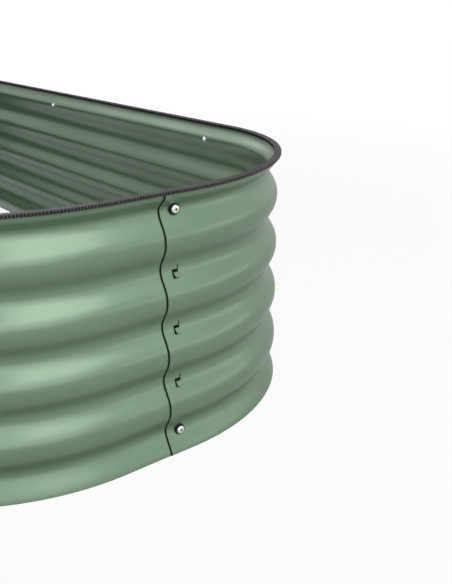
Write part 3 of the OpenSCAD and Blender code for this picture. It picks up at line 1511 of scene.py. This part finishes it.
    def build(self) -> None:
        """Builds every seam's bolts, washers and nuts in place of their solids."""
        tree = self.tree()
        for kind, shapes, finish, offset in (
            ("bolts", [self.bolt()], Finish.ZINC, self.washer_face + self.seat_gap),
            ("washers", [self.washer(z) for z in BED.bolt_rows], Finish.WASHER, 0.0),
            ("nuts", [self.nut()], Finish.ZINC, self.nut_face),
        ):
            patterns = [mesh_object(kind, shaded(shape, kind, self.sharp)) for shape in shapes]
            for seam in SEAMS:
                node = kind + "_" + seam.name
                mesh = as_mesh(self.row(tree, seam, patterns, finish, offset), node)
                mesh.materials.append(self.finishes[finish])
                settle(mesh_object("set_" + node, mesh), node)
            for pattern in patterns:
                bpy.data.objects.remove(pattern)


# Studio


@dataclass(frozen=True)
class SoftBox:
    """A rectangular lamp that faces a place on the bed."""

    name: str
    azimuth: float
    elevation: float
    size: Point
    radiance: float
    distance: float = 3.0
    about: tuple[float, float, float] = (0.8, 0.0, 0.2)

    def add(self) -> None:
        """Adds the lamp to the scene."""
        data = bpy.data.lights.new(self.name, "AREA")
        data.shape, data.size, data.size_y = "RECTANGLE", *self.size
        data.energy = self.radiance * math.pi * self.size[0] * self.size[1]
        a, e = math.radians(self.azimuth), math.radians(self.elevation)
        away = Vector((math.cos(a) * math.cos(e), math.sin(a) * math.cos(e), math.sin(e)))
        made = bpy.data.objects.new(self.name, data)
        made.location = Vector(self.about) + away * self.distance
        made.rotation_euler = (-away).to_track_quat("-Z", "Y").to_euler()
        bpy.context.scene.collection.objects.link(made)


@dataclass
class Studio:
    """Camera, floor and lights.

    The floor and the room show white to the camera. The mirrored values are what the paint reflects of them,
    as a share of white, and the tones are what the floor sends up to the bed as light.
    """

    eye: tuple[float, float, float] = (BED.half_l + 0.88229, -0.58432, 0.68996)
    yaw: float = math.radians(141.031)
    pitch: float = math.radians(21.047)
    focal_px: float = 776.66
    frame_long_px: int = 584
    sensor: float = 36.0
    nearest: float = 0.05
    farthest: float = 60.0
    room_light: float = 0.05
    mirrored_floor: float = 0.65
    mirrored_inside: float = 0.75
    mirrored_room: float = 0.90
    floor_tone: float = 0.25
    inside_tone: float = 0.10
    paper_tone: float = 0.95
    shadow_start: float = 1.2
    shadow_end: float = 3.5
    shadow_white: float = 0.92
    floor_size: float = 40.0
    floor_gap: float = 0.5 * MM
    inside_edge: float = 8 * MM
    outside_edge: float = 4 * MM
    boxes: tuple[SoftBox, ...] = (
        SoftBox("front_strip", 335, 22, (3.6, 1.0), 1.5),
        SoftBox("front_middle", 0, 32, (2.4, 0.7), 1.5),
        SoftBox("front_high", 0, 41, (2.4, 1.2), 2.2),
        SoftBox("front_top", 0, 52, (2.4, 0.7), 2.8),
        SoftBox("front_low", 335, 6, (3.0, 0.5), 1.6),
        SoftBox("right_low", 45, 6, (3.0, 0.6), 1.2, 3.2),
        SoftBox("rear_high", 180, 41, (2.4, 1.2), 1.5),
        SoftBox("back_high", 140, 35, (3.6, 1.2), 1.8, 4.0, (0.0, 0.0, 0.2)),
    )

    def camera(self) -> None:
        """Sets the camera at the photograph's place and lens."""
        data = bpy.data.cameras.new("camera")
        data.sensor_fit, data.sensor_width = "AUTO", self.sensor
        data.lens = self.focal_px / self.frame_long_px * self.sensor
        data.clip_start, data.clip_end = self.nearest, self.farthest
        level = math.cos(self.pitch)
        look = Vector((math.cos(self.yaw) * level, math.sin(self.yaw) * level, -math.sin(self.pitch)))
        made = bpy.data.objects.new("camera", data)
        made.location = self.eye
        made.rotation_euler = look.to_track_quat("-Z", "Y").to_euler()
        bpy.context.scene.collection.objects.link(made)
        bpy.context.scene.camera = made

    def outside(self, g: Graph) -> Wire:
        """Mask that is 0 on the ground inside the bed and 1 outside it.

        Args:
            g: The floor's graph.

        Returns:
            The mask.
        """
        centre = (BED.half_l - BED.corner_r, BED.half_w - BED.corner_r, 0)
        off = g.vector("SUBTRACT", g.vector("ABSOLUTE", g.coords), centre)
        off = g.vector("LENGTH", g.vector("MAXIMUM", off), output="Value")
        return off.ramp(BED.corner_r - self.inside_edge, BED.corner_r - self.outside_edge)

    def floor(self) -> None:
        """Lays the pale floor, which shows white and sends up little light inside the bed."""
        bpy.ops.mesh.primitive_plane_add(size=self.floor_size)
        floor = bpy.context.object
        floor.name = "floor"
        floor.data.transform(Matrix.Translation((0, 0, -self.floor_gap)))
        g = Graph.of_material("pale_floor")
        outside = self.outside(g)
        shown = g.node("ShaderNodeLightPath", output="Is Camera Ray")
        mirrored = g.node("ShaderNodeLightPath", output="Is Glossy Ray")
        # Inside the bed the floor is painted darker, a painted shade, so that it sends up little light there.
        tone = g.mix(outside, grey(self.inside_tone), grey(self.floor_tone))
        cloth = g.node("ShaderNodeBsdfDiffuse", {}, {"Color": tone})
        pale = g.node("ShaderNodeBsdfDiffuse", {}, {"Color": grey(self.paper_tone)})
        white = g.node("ShaderNodeEmission", {}, {"Color": grey(1.0), "Strength": 1.0})
        away = g.vector("LENGTH", g.coords, output="Value")
        fade = away.ramp(self.shadow_start, self.shadow_end, self.shadow_white, 1.0)
        paper = g.node("ShaderNodeMixShader", {}, {0: fade, 1: pale, 2: white})
        share = shown + mirrored * outside.ramp(0, 1, self.mirrored_inside, self.mirrored_floor)
        both = g.node("ShaderNodeMixShader", {}, {0: share, 1: cloth, 2: paper})
        g.node("ShaderNodeOutputMaterial", {}, {"Surface": both})
        floor.data.materials.append(g.owner)

    def world(self) -> None:
        """Fills the room with even light and a white backdrop."""
        world = bpy.data.worlds.new("studio")
        g = Graph(world)
        shown = g.node("ShaderNodeLightPath", output="Is Camera Ray")
        mirrored = g.node("ShaderNodeLightPath", output="Is Glossy Ray")
        dim, bright = (
            g.node("ShaderNodeBackground", {}, {"Color": grey(1.0), "Strength": strength})
            for strength in (self.room_light, 1.0)
        )
        share = shown + mirrored * self.mirrored_room
        both = g.node("ShaderNodeMixShader", {}, {0: share, 1: dim, 2: bright})
        g.node("ShaderNodeOutputWorld", {}, {"Surface": both})
        bpy.context.scene.world = world

    def build(self) -> None:
        """Sets up the whole studio."""
        self.camera()
        self.floor()
        self.world()
        for box in self.boxes:
            box.add()
        bpy.context.scene.view_settings.view_transform = "Standard"


# The whole bed


def corners(box: tuple[Vector, Vector]) -> list[list[float]]:
    """A box's two corners as plain lists."""
    return [list(box[0]), list(box[1])]


def main() -> None:
    """Builds the bed's looks and the studio."""
    logging.basicConfig(level=logging.INFO, format="%(name)s %(message)s")
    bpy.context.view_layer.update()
    Studio().build()
    finishes = Finishes()
    Walls(finishes).build()
    RimEdging(finishes).build()
    Fasteners(finishes).build()


if __name__ == "__main__":
    main()
